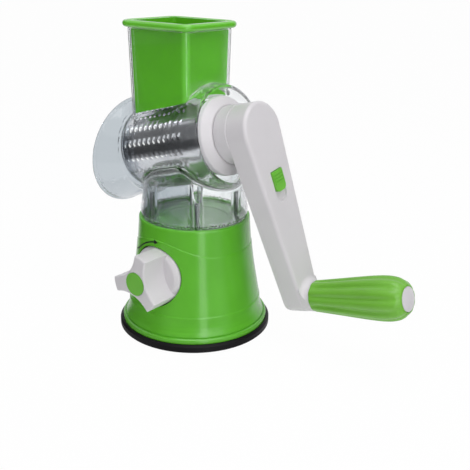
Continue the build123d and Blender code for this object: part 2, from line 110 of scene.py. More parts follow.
class Value:
    """A number in a material's node tree. Arithmetic on it adds Math nodes."""

    def __init__(self, finish, socket):
        self.finish, self.socket = finish, socket

    def maths(self, operation, other):
        return self.finish.node("ShaderNodeMath", {"operation": operation}, {0: self, 1: other})

    def __add__(self, other):
        return self.maths("ADD", other)

    __radd__ = __add__

    def __sub__(self, other):
        return self.maths("SUBTRACT", other)

    def __mul__(self, other):
        return self.maths("MULTIPLY", other)

    def clamped(self):
        return self.finish.node("ShaderNodeClamp", {}, {"Value": self})


class Finish:
    """A material or world and its nodes."""

    def __init__(self, owner):
        self.owner = owner
        owner.use_nodes = True
        self.tree = owner.node_tree
        self.tree.nodes.clear()

    def node(self, kind, settings=None, inputs=None, output=0):
        """Adds a node, with its settings and its inputs given as numbers, colours or Values."""
        made = self.tree.nodes.new(kind)
        for name, value in (settings or {}).items():
            setattr(made, name, value)
        for name, value in (inputs or {}).items():
            if isinstance(value, Value):
                self.tree.links.new(value.socket, made.inputs[name])
            else:
                made.inputs[name].default_value = value
        return Value(self, made.outputs[output]) if made.outputs else None

    def ramp(self, factor, *stops):
        """Colour ramp through (place, colour) stops."""
        made = self.tree.nodes.new("ShaderNodeValToRGB")
        elements = made.color_ramp.elements
        while len(elements) < len(stops):
            elements.new(0.5)
        for element, (place, colour) in zip(elements, stops):
            element.position, element.color = place, (*colour, 1)
        self.tree.links.new(factor.socket, made.inputs[0])
        return Value(self, made.outputs[0])

    def blend(self, factor, first, second):
        """Mix of two colours. Sockets 6, 7 and 2 are the node's colour inputs and result."""
        made = self.tree.nodes.new("ShaderNodeMix")
        made.data_type = "RGBA"
        for number, value in ((0, factor), (6, first), (7, second)):
            socket = made.inputs[number]
            if isinstance(value, Value):
                self.tree.links.new(value.socket, socket)
            else:
                socket.default_value = (*value, 1)
        return Value(self, made.outputs[2])

    def place(self):
        return self.node("ShaderNodeTexCoord", output="Object")

    def dot(self, first, second):
        return self.node("ShaderNodeVectorMath", {"operation": "DOT_PRODUCT"},
                         {0: first, 1: second}, output="Value")

    def ray(self, question):
        """Light Path node: Is Camera Ray and so on."""
        return self.node("ShaderNodeLightPath", output=question)

    def noise(self, scale, detail, at=None):
        return self.node("ShaderNodeTexNoise", {}, {
            "Vector": at or self.place(), "Scale": scale, "Detail": detail})

    def bump(self, height, strength, distance):
        return self.node("ShaderNodeBump", {}, {
            "Height": height, "Strength": strength, "Distance": distance})

    def principled(self, **inputs):
        """Principled shader and the material's output. Input names have _ for a space."""
        named = {name.replace("_", " "): value for name, value in inputs.items()}
        return self.node("ShaderNodeBsdfPrincipled", {}, named)

    def surface(self, shader):
        self.node("ShaderNodeOutputMaterial", {}, {"Surface": shader})
        return self.owner


def material(name):
    return Finish(bpy.data.materials.new(name))


def srgb(red, green, blue):
    """Colour as it is seen, 0 to 255, to linear light."""
    seen = np.array((red, green, blue)) / 255
    linear = np.where(seen < 0.04045, seen / 12.92, ((seen + 0.055) / 1.055) ** 2.4)
    return tuple(linear.tolist())


# ---------------------------------------------------------------- materials

CLOUD_SCALE, WAVE_SCALE = 38.0, 45.0        # blotches and moulding waves in a metre
WAVE_DEPTH = 0.0004


def moulded_plastic(name, colour, roughness, coat=0.0, mottle=0.03):
    """Moulded plastic: faint cloudiness in the colour, and a very slightly wavy skin."""
    finish = material(name)
    clouds = finish.noise(CLOUD_SCALE, 3.0)
    waves = finish.noise(WAVE_SCALE, 1.0)
    darker = tuple(c * (1 - 2 * mottle) for c in colour)
    lighter = tuple(min(1.0, c * (1 + mottle)) for c in colour)
    return finish.surface(finish.principled(
        Base_Color=finish.ramp(clouds, (0.3, darker), (0.7, lighter)),
        Roughness=roughness + (clouds - 0.5) * 0.08,
        Normal=finish.bump(waves, 0.06, WAVE_DEPTH),
        IOR=1.5, Coat_Weight=coat, Coat_Roughness=0.04))


FLARE_START, FLARE_SHARPNESS = 0.035, 200   # metres before the drum's centre; full in 5 mm
# the bell's colour is painted shade: the same plastic, made darker where the bell flares
CLEAR_TINT, BELL_PAINTED_SHADE = (0.94, 0.96, 0.97), (0.47, 0.52, 0.56)
SHADOW_TINT = (0.93, 0.95, 0.95, 1)


def clear_plastic():
    """Clear plastic: bends light, and lets the lamps through to what is behind it.

    The tint deepens at the bell: painted shade, a darker blue-grey that stands in for the bell's
    greyer look.
    """
    finish = material("clear_plastic")
    along = finish.dot(finish.place(), tuple(ALONG))
    before_centre = along * -1 + float(DRUM_CENTRE @ ALONG) * MM
    flare = ((before_centre - FLARE_START) * FLARE_SHARPNESS).clamped()
    glass = finish.principled(
        # painted shade: the colour turns darker blue-grey over the bell
        Base_Color=finish.blend(flare, CLEAR_TINT, BELL_PAINTED_SHADE),
        Roughness=0.02, IOR=1.35, Alpha=0.90, Transmission_Weight=1.0)
    through = finish.node("ShaderNodeBsdfTransparent", {}, {"Color": SHADOW_TINT})
    return finish.surface(finish.node("ShaderNodeMixShader", {}, {
        0: finish.ray("Is Shadow Ray"), 1: glass, 2: through}))


def rubber():
    """Black rubber: dusty patches and a fine matt grain."""
    finish = material("rubber")
    dust = finish.noise(60.0, 4.0)
    grain = finish.noise(1500.0, 2.0)
    return finish.surface(finish.principled(
        Base_Color=finish.ramp(dust, (0.35, srgb(6, 5, 8)), (0.75, srgb(13, 12, 15))),
        Roughness=0.40 + dust * 0.15,
        Normal=finish.bump(grain, 0.15, 0.00005), Specular_IOR_Level=0.18))


def drum_steel():
    """Rolled stainless sheet: fine lines round the drum, and faint clouds."""
    finish = material("drum_steel")
    stretched = finish.node("ShaderNodeMapping", {}, {
        "Vector": finish.place(), "Rotation": (0, TILT, 0), "Scale": (2600, 60, 60)})
    lines = finish.noise(1.0, 2.0, at=stretched)
    clouds = finish.noise(45.0, 3.0)
    return finish.surface(finish.principled(
        Base_Color=finish.ramp(clouds, (0.3, (0.66, 0.66, 0.69)), (0.7, (0.76, 0.76, 0.78))),
        Metallic=1.0, Roughness=0.12 + lines * 0.08,
        Normal=finish.bump(lines, 0.08, 0.0001)))


def screw_steel():
    """Plain steel of screws and shafts, a little dull and marked."""
    finish = material("screw_steel")
    marks = finish.noise(400.0, 3.0)
    return finish.surface(finish.principled(
        Base_Color=finish.ramp(marks, (0.3, (0.22, 0.22, 0.23)), (0.7, (0.34, 0.34, 0.35))),
        Metallic=1.0, Roughness=0.3 + marks * 0.15))


GREEN = moulded_plastic("green_plastic", srgb(93, 182, 38), 0.24, coat=0.2)
GREEN_CAP = moulded_plastic("green_cap_plastic", srgb(112, 190, 62), 0.3)
GREEN_CUP = moulded_plastic("green_cup_plastic", srgb(98, 192, 38), 0.16, coat=0.4)
GREEN_GRIP = moulded_plastic("green_grip_plastic", srgb(112, 180, 54), 0.30)
WHITE = moulded_plastic("white_plastic", srgb(214, 211, 214), 0.32, mottle=0.012)
GREY = moulded_plastic("grey_plastic", srgb(150, 150, 150), 0.5)
CLEAR = clear_plastic()
RUBBER = rubber()
INK = moulded_plastic("black_ink", srgb(6, 8, 5), 0.6)
STEEL = drum_steel()
SCREW = screw_steel()

# ---------------------------------------------------------------- the CAD nodes' finishes

FINISHES = {
    "suction_pad": RUBBER, "base_body": GREEN, "base_plate": GREY, "base_screws": SCREW,
    "housing": CLEAR, "housing_screws": SCREW, "pusher": GREEN_CUP,
    "drum_shell": STEEL, "drum_front_ring": STEEL, "drum_end_cap": WHITE,
    "drive_shaft": SCREW, "crank_arm": WHITE, "crank_cover": WHITE, "cover_screws": SCREW,
    "crank_hub": WHITE, "grip_pin": SCREW, "pin_screw": SCREW,
    "release_button": GREEN_CAP, "latch_slider": GREY, "grip": GREEN_GRIP, "grip_cap": WHITE,
    "knob": WHITE, "knob_cap": GREEN_CAP, "knob_screw": SCREW, "cam_shaft": GREY,
    "lift_post": GREY,
}
for node, finish in FINISHES.items():
    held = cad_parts[node].data.materials
    held.clear()
    held.append(finish)


# ---------------------------------------------------------------- making meshes

def smooth_table(points, steps=240):
    """Even samples of the smooth curve through (place, value) points.

    A cubic between each pair of points, with the slopes of the points' own differences.
    """
    place, value = np.array(points, float).T
    slope = np.gradient(value, place)
    fine = np.linspace(place[0], place[-1], steps)
    k = np.clip(np.searchsorted(place, fine, side="right") - 1, 0, len(place) - 2)
    width = place[k + 1] - place[k]
    s = (fine - place[k]) / width
    curve = ((1 + 2 * s) * (1 - s) ** 2 * value[k] + s * (1 - s) ** 2 * width * slope[k]
             + s * s * (3 - 2 * s) * value[k + 1] + s * s * (s - 1) * width * slope[k + 1])
    return fine, curve


def rounded_line(*corners, steps=5):
    """Profile through (r, z, rounding) corners: a rounded corner becomes a quadratic curve."""
    points = [np.array(c[:2], float) for c in corners]
    run = []
    for k, corner in enumerate(corners):
        radius = corner[2] if len(corner) > 2 else 0
        if not radius or k in (0, len(corners) - 1):
            run.append(points[k][None])
            continue
        before, after = points[k - 1] - points[k], points[k + 1] - points[k]
        first = points[k] + before / np.linalg.norm(before) * radius
        last = points[k] + after / np.linalg.norm(after) * radius
        s = np.linspace(0, 1, steps)[:, None]
        run.append((1 - s) ** 2 * first + 2 * s * (1 - s) * points[k] + s * s * last)
    return np.concatenate(run)


def full_turn(columns):
    """Angles evenly round a circle, without the last."""
    return np.arange(columns) * 2 * pi / columns


def turned(radius, height, angle):
    """Points at a radius and height for each angle; any of the three may be an array."""
    return np.stack((radius * np.cos(angle), radius * np.sin(angle), height + 0 * angle), -1)


def spun(profile, columns):
    """Grid of a profile of (r, z) turned about the third axis."""
    return turned(profile[:, 0][:, None], profile[:, 1][:, None], full_turn(columns))


def grid_faces(rows, columns, close_rows, close_columns, first=0):
    """Four-sided faces of a grid of points, joined up along either side."""
    i = np.arange(rows if close_rows else rows - 1)[:, None]
    j = np.arange(columns if close_columns else columns - 1)[None]
    a, b = i * columns + j, i * columns + (j + 1) % columns
    c, d = (i + 1) % rows * columns + (j + 1) % columns, (i + 1) % rows * columns + j
    return np.stack((a, b, c, d), -1).reshape(-1, 4) + first


def mend(mesh):
    """Merges doubled points, drops faces without area and turns the rest outwards."""
    work = bmesh.new()
    work.from_mesh(mesh)
    bmesh.ops.remove_doubles(work, verts=work.verts, dist=1e-6)
    bmesh.ops.dissolve_degenerate(work, edges=work.edges, dist=1e-7)
    bmesh.ops.recalc_face_normals(work, faces=work.faces)
    work.to_mesh(mesh)
    work.free()


def piece(name, points, faces, finish, crease=35, normals=None):
    """Mesh object from points in millimetres.

    With normals given the mesh is kept as it is. Otherwise it is mended, and edges that
    bend by more than the crease stay sharp.
    """
    mesh = bpy.data.meshes.new(name)
    points = np.asarray(points, float).reshape(-1, 3) * MM
    mesh.vertices.add(len(points))
    mesh.vertices.foreach_set("co", points.astype(np.float32).ravel())
    mesh.loops.add(faces.size)
    mesh.loops.foreach_set("vertex_index", faces.astype(np.int32).ravel())
    mesh.polygons.add(len(faces))
    starts = np.arange(len(faces), dtype=np.int32) * faces.shape[1]
    mesh.polygons.foreach_set("loop_start", starts)
    mesh.update(calc_edges=True)
    mesh.validate()
    if normals is None:
        mend(mesh)
    mesh.polygons.foreach_set("use_smooth", np.ones(len(mesh.polygons), bool))
    if normals is None:
        mesh.set_sharp_from_angle(angle=radians(crease))
    else:
        mesh.normals_split_custom_set_from_vertices(normals.tolist())
    made = bpy.data.objects.new(name, mesh)
    bpy.context.scene.collection.objects.link(made)
    mesh.materials.append(finish)
    return made


def shown(made, body, slot, *nodes):
    """Rides on its body and stands for the nodes, which are hidden. The slot is not used."""
    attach(made, body)
    if nodes:
        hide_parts(*nodes)
    return made


# ---------------------------------------------------------------- clear housing

# radii along the drum axis, and the neck's radius by height
BORE = smooth_table((
    (-60, 33), (8, 33), (12.5, 33.5), (18.3, 35.3), (24.6, 37.3), (31, 38.5), (37, 38.8),
    (42, 38.3), (46.4, 37.2), (60, 37.2)))
BARREL = smooth_table((
    (-50, 36), (-20, 36), (0, 35.6), (8, 35.5), (12.5, 36.1), (18.3, 37.9), (24.6, 40),
    (31, 41.3), (37, 41.8), (42, 41.4), (46.4, 39.9), (60, 38)))
NECK = smooth_table((
    (90, 46.8), (98.9, 46.2), (111.5, 44.1), (123.6, 42.6), (134, 41.0), (150, 39.8),
    (170, 39)))
BARREL_START, COLLAR_END = -36.5, 46.4
BELL_BACK = DRUM_CENTRE + ALONG * -36.0
BELL_RIM = np.array((-71.4, 0.0, 143.5))
RIM_TILT = radians(-7.24)
BELL_R, BELL_FLARE, BELL_CURVE = 36.0, 11.0, 1.4
RING_PLACE, RING_WIDTH, RING_HEIGHT = 0.26, 0.035, 0.7   # the raised ring near the bell's root
RIM_R, RIM_THICK = 45.9, 1.6
NECK_FOOT, NECK_TOP, CAVITY_TOP = 98.9, -17, -19.4       # tops are below the drum axis
SPIGOT_OUT, SPIGOT_IN, SPIGOT_LOW, SPIGOT_HIGH = 43.5, 41.8, 95.2, 101
FLOOR_R, FLOOR_LOW, FLOOR_HIGH = 43.0, 97.0, 98.6
CHUTE_X, CHUTE_TOP, CHUTE_LOW, CUP_LOW = -14.9, 250.5, 162, 160
CHUTE_HALF, CHUTE_CORNER = (33.0, 29.1), 7.0
DRAFT = tan(radians(1.1))
POST_RING, POST_TURNS = 35.5, (45, 135, 225, 315)
POST_R, POST_LOW, POST_HIGH = 4.2, 94.6, 142
DRILL_R, DRILL_HIGH = 1.7, 119
POSTS = [(POST_RING * cos(radians(turn)), POST_RING * sin(radians(turn)))
         for turn in POST_TURNS]
WALL = 2.2


def merged(first, second, blend):
    """Smaller of two distances, with a fillet of about that size where they meet."""
    share = np.clip(0.5 + 0.5 * (second - first) / blend, 0, 1)
    return second * (1 - share) + first * share - blend * share * (1 - share)


def common(first, second, blend):
    """Larger of two distances, with the edge where they meet rounded by about that size."""
    return -merged(-first, -second, blend)


def rounded_block(x, y, half_x, half_y, corner):
    """Distance to a rounded rectangle about the origin."""
    over_x, over_y = np.abs(x) - half_x + corner, np.abs(y) - half_y + corner
    outside = np.hypot(np.maximum(over_x, 0), np.maximum(over_y, 0))
    return outside + np.minimum(np.maximum(over_x, over_y), 0) - corner


def bell_line(x, y, z):
    """Share of the way along the bell's line, distance from that line, and its length.

    The line runs straight from the barrel to the rim's centre while the cross-section tips
    evenly from the drum's tilt to the rim's. The share is where the point lies in its
    cross-section's plane, found by Newton's method in four steps.
    """
    span = BELL_RIM - BELL_BACK
    reach = np.linalg.norm(span)
    k = ((x - BELL_BACK[0]) * span[0] + (z - BELL_BACK[2]) * span[2]) / reach ** 2
    for _ in range(4):
        tilt = TILT + (RIM_TILT - TILT) * k
        off_x, off_z = x - BELL_BACK[0] - span[0] * k, z - BELL_BACK[2] - span[2] * k
        miss = off_x * np.cos(tilt) + off_z * np.sin(tilt)
        slope = (-span[0] * np.cos(tilt) - span[2] * np.sin(tilt)
                 + (RIM_TILT - TILT) * (off_z * np.cos(tilt) - off_x * np.sin(tilt)))
        k = np.clip(k - miss / np.where(np.abs(slope) < 5, 5 * np.sign(slope), slope), -1.5, 2.5)
    lift = off_z * np.cos(tilt) - off_x * np.sin(tilt)
    return k, np.hypot(y, lift), reach


def bell_mouth(x, y, z, bore):
    """Distances to the bell's outside, to all of the hollow, and to its rolled rim.

    The radius is 36 mm plus 11 times the share of the way along, to the power 1.4, and a
    low raised ring. The wall thins from 3 mm to 2.2 at the rim, a ring of round section.
    """
    k, across, reach = bell_line(x, y, z)
    flare = BELL_R + BELL_FLARE * np.clip(k, 0, 1.2) ** BELL_CURVE
    ring = RING_HEIGHT * np.exp(-((k - RING_PLACE) / RING_WIDTH) ** 2)
    bell = common(across - flare - ring,
                  common((k - 1) * reach, -(k + 0.03) * reach, 0.3), 0.8)
    hollow = np.where(k < 0, bore, across - flare + 3.0 - 0.8 * np.clip(k, 0, 1))
    rim_off = (x - BELL_RIM[0]) * cos(RIM_TILT) + (z - BELL_RIM[2]) * sin(RIM_TILT)
    rim_up = (z - BELL_RIM[2]) * cos(RIM_TILT) - (x - BELL_RIM[0]) * sin(RIM_TILT)
    rim = np.hypot(np.hypot(y, rim_up) - RIM_R, rim_off) - RIM_THICK
    return bell, hollow, rim


def neck_shell(radius, z, e):
    """Distances to the open neck under the drum, and to its floor with the spigot.

    The neck is a turned wall cut off under the drum axis, less the same form one wall in.
    """
    around = radius - np.interp(z, *NECK)
    outside = common(around, common(e - NECK_TOP, NECK_FOOT - z, 0.5), 7.0)
    cavity = common(around + WALL, e - CAVITY_TOP, 5.5)
    spigot = common(common(radius - SPIGOT_OUT, SPIGOT_IN - radius, 0.3),
                    common(SPIGOT_LOW - z, z - SPIGOT_HIGH, 0.3), 0.5)
    floor = common(radius - FLOOR_R, common(FLOOR_LOW - z, z - FLOOR_HIGH, 0.3), 0.4)
    return common(outside, -cavity, 0.8), merged(spigot, floor, 0.6)


def feed_chute(x, y, z):
    """Distances to the square chute, drafted by 1.1 degrees, and to the room inside it."""
    narrower = (CHUTE_TOP - z) * DRAFT
    chute = rounded_block(x - CHUTE_X, y, CHUTE_HALF[0] - narrower, CHUTE_HALF[1] - narrower,
                          CHUTE_CORNER)
    chute = common(chute, common(z - CHUTE_TOP, CHUTE_LOW - z, 0.3), 0.7)
    room = rounded_block(x - CHUTE_X, y, CHUTE_HALF[0] - WALL - narrower,
                         CHUTE_HALF[1] - WALL - narrower, CHUTE_CORNER - WALL)
    return chute, common(room, CUP_LOW - z, 0.5)


def housing_field(points):
    """Distance to the clear moulding's surface, below nought inside the plastic.

    Barrel, bell, neck, chute, screw posts and floor are merged with fillets, then the
    drum's hollow, the chute's room and the screw holes are taken away.
    """
    x, y, z = np.moveaxis(points, -1, 0)
    along_x, along_z = x - DRUM_CENTRE[0], z - DRUM_CENTRE[2]
    u = along_x * cos(TILT) + along_z * sin(TILT)
    e = along_z * cos(TILT) - along_x * sin(TILT)
    r = np.hypot(y, e)
    barrel = common(r - np.interp(u, *BARREL), common(u - COLLAR_END, BARREL_START - u, 0.5), 1.6)
    bell, hollow, rim = bell_mouth(x, y, z, r - np.interp(u, *BORE))
    shell, floor = neck_shell(np.hypot(x, y), z, e)
    chute, room = feed_chute(x, y, z)

    solid = merged(barrel, bell, 1.0)
    solid = merged(solid, shell, 3.5)
    solid = merged(solid, chute, 2.5)
    from_posts = [np.hypot(x - post_x, y - post_y) for post_x, post_y in POSTS]
    for away in from_posts:
        post = common(away - POST_R, common(POST_LOW - z, z - POST_HIGH, 0.5), 0.6)
        solid = merged(solid, post, 2.0)
    solid = merged(solid, floor, 0.8)
    solid = common(solid, -hollow, 0.9)
    solid = merged(solid, rim, 1.0)
    solid = common(solid, -room, 0.9)
    for away in from_posts:
        solid = common(solid, -common(away - DRILL_R, z - DRILL_HIGH, 0.4), 0.3)
    return solid


def field_slope(field, at):
    """Slope of a field, from its values a little to either side."""
    small = 0.04
    sides = [field(at + small * d) - field(at - small * d) for d in np.eye(3)]
    return np.stack(sides, -1) / (2 * small)


def crossed_cells(inside, value):
    """Cells of a grid that the zero surface crosses, and the mean of each one's crossings."""
    size = tuple(n - 1 for n in inside.shape)
    corners = [(i, j, k) for i in (0, 1) for j in (0, 1) for k in (0, 1)]
    count = sum(inside[i:i + size[0], j:j + size[1], k:k + size[2]].astype(np.int8)
                for i, j, k in corners)
    cells = np.argwhere((count > 0) & (count < 8))
    total, hits = np.zeros((len(cells), 3)), np.zeros((len(cells), 1))
    for axis in range(3):
        for corner in corners:
            if corner[axis]:
                continue
            start = cells + corner
            end = start + np.eye(3, dtype=int)[axis]
            v0, v1 = value[tuple(start.T)], value[tuple(end.T)]
            crossed = ((v0 < 0) != (v1 < 0))[:, None]
            share = (v0 / np.where(v0 == v1, 1, v0 - v1))[:, None]
            total += crossed * (start + (end - start) * share)
            hits += crossed
    number = np.full(size, -1)
    number[tuple(cells.T)] = np.arange(len(cells))
    return number, total / hits


def skinned(name, field, low, high, step, finish):
    """Mesh of a field's zero surface, with the field's slope for its normals.

    One point in each cell that the surface crosses, moved onto it along the slope, and one
    four-sided face across each grid edge whose ends lie on different sides.
    """
    axes = [np.arange(a, b + step, step) for a, b in zip(low, high)]
    value = field(np.stack(np.meshgrid(*axes, indexing="ij"), -1))
    inside = value < 0
    number, middles = crossed_cells(inside, value)
    points = np.array(low) + middles * step
    for _ in range(3):
        tilt = field_slope(field, points)
        steep = np.maximum((tilt ** 2).sum(-1), 0.2)
        move = tilt * (field(points) / steep)[:, None]
        length = np.linalg.norm(move, axis=-1, keepdims=True)
        points -= move * np.minimum(1, 0.5 * step / np.maximum(length, 1e-9))
    faces = []
    for axis in range(3):
        one, two = (axis + 1) % 3, (axis + 2) % 3
        here = np.moveaxis(inside, (axis, one, two), (0, 1, 2))
        order = np.moveaxis(number, (axis, one, two), (0, 1, 2))
        a, b = here[:-1, 1:-1, 1:-1], here[1:, 1:-1, 1:-1]
        i, j, k = np.nonzero(a != b)
        quad = np.stack((order[i, j, k], order[i, j + 1, k], order[i, j + 1, k + 1],
                         order[i, j, k + 1]), -1)
        flip = ~a[i, j, k]
        quad[flip] = quad[flip][:, ::-1]
        faces.append(quad)
    normals = field_slope(field, points)
    normals /= np.linalg.norm(normals, axis=-1, keepdims=True)
    return piece(name, points, np.concatenate(faces), finish, normals=normals)


HOUSING_LOW, HOUSING_HIGH, HOUSING_STEP = (-82, -51, 91), (53, 51, 254), 1.25

shown(skinned("clear_housing", housing_field, HOUSING_LOW, HOUSING_HIGH, HOUSING_STEP, CLEAR),
      "stand", "clear_plastic", "housing")

# ---------------------------------------------------------------- base

# the flank's radius by height, and profiles of (r, z, rounding)
FLANK = smooth_table(((27.4, 56.0), (38, 54.2), (55, 51.3), (72.6, 49.0), (84, 48.0),
                      (98.9, 46.9)))
FOOT = ((61.2, 5.3), (62.9, 5.3, 0.5), (63.05, 10.0, 1.0), (61.2, 11.0, 0.5),
        (60.9, 10.3, 0.15), (60.5, 10.3, 0.15), (60.4, 11.9, 0.4), (58.84, 15.0, 0.8),
        (57.74, 18.5, 0.8), (57.2, 22.5, 0.8), (57.0, 26.4, 0.6), (56.4, 27.4, 0.4),
        (56.0, 30.5))
DECK_AND_INSIDE = ((46.6, 98.75), (46.3, 98.9), (44.0, 98.9, 0.6), (43.9, 94.4, 0.5),
                   (31.0, 94.4, 0.4), (30.4, 95.6, 0.4), (28.4, 95.6, 0.4),
                   (28.0, 94.4, 0.3), (0, 94.4), (0, 92.2), (44.3, 92.2), (49.2, 55),
                   (53.8, 27.4), (58.2, 13), (61.2, 5.3))
FOOT_TOP, FLANK_TOP = 30.5, 98.2
PROUD = 0.44                                # the lower part stands out by this much
LINE_Z, ARCH_RISE, ARCH_HALF = 75.8, 12, 66
STEP_BELOW, STEP_ABOVE = 1.2, 0.9
# heights over the line and how proud the surface is there
STEP_PROFILE = ((-0.8, PROUD), (-0.4, 0.40), (-0.1, 0.28), (0.1, 0.06), (0.4, -0.02),
                (STEP_ABOVE, 0.0))
BASE_CREASE = 32
POCKET = ((0, 42.9), (25.3, 42.9, 0.8), (25.3, 70), (0, 70))


def base_surface(z, proud):
    return np.interp(z, *FLANK) + proud


def base_shell():
    """Turned shell. Its lower part stands proud, up to a line that arches over the knob:

    the line's height is 75.8 mm, plus 12 times the squared cosine of the angle from the
    front, the angle stretched so that the arch ends 66 degrees to either side.
    """
    columns = 288
    angle = full_turn(columns)
    from_front = np.abs(np.degrees(np.angle(np.exp(1j * (angle + pi / 2)))))
    arch = np.cos(np.radians(90 * from_front / ARCH_HALF)) ** 2
    line = LINE_Z + ARCH_RISE * np.where(from_front < ARCH_HALF, arch, 0)

    def level(r, z):
        return np.stack((np.full(columns, r), np.full(columns, z)), -1)

    def follows(z, proud):
        return np.stack((base_surface(z, proud), z), -1)

    rows = [level(r, z) for r, z in rounded_line(*FOOT)]
    for share in np.linspace(0, 1, 18)[1:]:
        rows.append(follows(FOOT_TOP + (line - STEP_BELOW - FOOT_TOP) * share, PROUD))
    rows += [follows(line + up, proud) for up, proud in STEP_PROFILE]
    for share in np.linspace(0, 1, 10)[1:]:
        rows.append(follows(line + STEP_ABOVE + (FLANK_TOP - line - STEP_ABOVE) * share, 0))
    rows += [level(r, z) for r, z in rounded_line(*DECK_AND_INSIDE)]
    rows = np.array(rows)
    return piece("base_shell", turned(rows[..., 0], rows[..., 1], angle),
                 grid_faces(len(rows), columns, True, True), GREEN, crease=BASE_CREASE)


def pocket_cutter():
    """Solid of the knob's pocket: its profile, from the axis back to the axis, turned."""
    columns = 192
    profile = rounded_line(*POCKET)
    points = knob_place(spun(profile, columns).reshape(-1, 3))
    return piece("knob_pocket", points, grid_faces(len(profile), columns, False, True), GREEN)


def cut_out(made, cutter):
    """Takes the cutter's solid away from a piece."""
    change = made.modifiers.new("pocket", "BOOLEAN")
    change.object, change.operation, change.solver = cutter, "DIFFERENCE", "EXACT"
    bpy.context.view_layer.update()
    cut = made.evaluated_get(bpy.context.evaluated_depsgraph_get())
    left = bpy.data.meshes.new_from_object(cut)
    made.modifiers.clear()
    made.data = left
    left.set_sharp_from_angle(angle=radians(BASE_CREASE))
    bpy.data.objects.remove(cutter)


base = base_shell()
cut_out(base, pocket_cutter())
shown(base, "stand", "green_plastic", "base_body")

# ---------------------------------------------------------------- arrow on the base

# (angle from the front in degrees, height)
ARROW_PATH = ((-37.5, 70.3), (-35.8, 71.3), (-29.0, 74.0), (-24.0, 77.0), (-19.0, 79.8),
              (-14.0, 82.3), (-8.9, 84.2), (-4.8, 85.3), (-0.7, 86.0), (4.0, 86.2))
ARROW_START, ARROW_END, ARROW_STEPS = -36.5, 3.6, 90
STROKE_HALF, HEAD_HALF, HEAD_LENGTH = 0.55, 2.1, 4.0
# which side of the stroke, and how far out of the base's surface
ARROW_SECTION = ((1, 0.04), (0, 0.07), (-1, 0.04), (-1, -0.3), (1, -0.3))


def curved_arrow():
    """Flat arrow along its path, wrapped on the base's surface.

    The stroke has one width, and within the head's length of the end its half width is the
    distance from the end times the head's half width over its length.
    """
    turn = np.linspace(ARROW_START, ARROW_END, ARROW_STEPS)
    z = np.interp(turn, *smooth_table(ARROW_PATH, 400))
    radius = base_surface(z, PROUD)
    flat = np.stack((np.radians(turn) * radius, z), -1)
    ahead = np.gradient(flat, axis=0)
    ahead /= np.linalg.norm(ahead, axis=1, keepdims=True)
    left = np.stack((-ahead[:, 1], ahead[:, 0]), -1)
    run = np.linalg.norm(flat - flat[-1], axis=1)
    half = np.where(run < HEAD_LENGTH, run / HEAD_LENGTH * HEAD_HALF, STROKE_HALF)[:, None]
    rings = []
    for side, lift in ARROW_SECTION:
        spot = flat + side * half * left
        spread = base_surface(spot[:, 1], PROUD + lift)
        around = spot[:, 0] / radius
        rings.append(np.stack((spread * np.sin(around), -spread * np.cos(around),
                               spot[:, 1]), -1))
    rings = np.array(rings)
    caps = np.repeat(rings.mean(0, keepdims=True), len(rings), 0)
    points = np.concatenate((caps[:, :1], rings, caps[:, -1:]), 1)
    return piece("turn_arrow", points, grid_faces(len(rings), points.shape[1], True, False),
                 INK)


shown(curved_arrow(), "stand", "green_plastic")

# ---------------------------------------------------------------- suction knob

KNOB_R, KNOB_BACK, KNOB_FACE, KNOB_EDGE = 24.4, 44.0, 72.2, 1.4
HOLLOW_R, HOLLOW_CENTRE, HOLLOW_BLEND = 28.4, 39.9, 3.5
KNOB_LOBES = (75, 195, 315)
# radius and depth under the face, round the recess that holds the green dot
DOT_RECESS = ((10.3, 0), (9.9, 0.1), (9.7, 0.4), (9.7, 1.8), (0, 1.8))
FLANGE = ((0, 43.25), (24.0, 43.25, 0.5), (24.5, 45.9, 0.9), (21.0, 49.1, 1.0),
          (18.0, 49.4), (0, 49.4))


def knob_outline(angle, inset):
    """Distance from the middle to the edge of a disc with three round hollows.

    The hollows' centres lie halfway between the lobes. Everything moves in by the inset.
    """
    reach = np.full_like(angle, KNOB_R - inset)
    for lobe in KNOB_LOBES:
        off = angle - radians(lobe + 60)
        side, radius = HOLLOW_CENTRE * np.sin(off), HOLLOW_R + inset
        depth = np.sqrt(np.clip(radius ** 2 - side ** 2, 0, None))
        hollow = HOLLOW_CENTRE * np.cos(off) - depth
        near = (np.abs(side) < radius) & (np.cos(off) > 0)
        filleted = merged(reach, np.where(near, hollow, reach), HOLLOW_BLEND)
        reach = np.where(near, filleted, reach)
    return reach


def knob_handle():
    """The outline drawn straight out of the base, with a quarter-round edge and a recess."""
    columns = 540
    angle = full_turn(columns)
    rows = [(0 * angle, KNOB_BACK), (knob_outline(angle, 0), KNOB_BACK)]
    rows += [(knob_outline(angle, KNOB_EDGE * (1 - cos(s))),
              KNOB_FACE - KNOB_EDGE + KNOB_EDGE * sin(s)) for s in np.linspace(0, pi / 2, 6)]
    rows += [(0 * angle + r, KNOB_FACE - depth) for r, depth in DOT_RECESS]
    points = np.array([turned(r, out, angle) for r, out in rows])
    return points.reshape(-1, 3), grid_faces(len(rows), columns, False, True)


def suction_knob():
    """Three-lobed handle on a flange: a turned disc whose front slopes like a cone."""
    columns = 240
    handle, handle_faces = knob_handle()
    flange = rounded_line(*FLANGE, steps=6)
    rim = spun(flange, columns).reshape(-1, 3)
    rim_faces = grid_faces(len(flange), columns, False, True, len(handle))
    return piece("suction_knob", knob_place(np.concatenate((handle, rim))),
                 np.concatenate((handle_faces, rim_faces)), WHITE, crease=38)


shown(suction_knob(), "knob", "white_plastic", "knob")

# ---------------------------------------------------------------- grip

GRIP_START, GRIP_BULGE, GRIP_END = 86.0, 150, 166.8
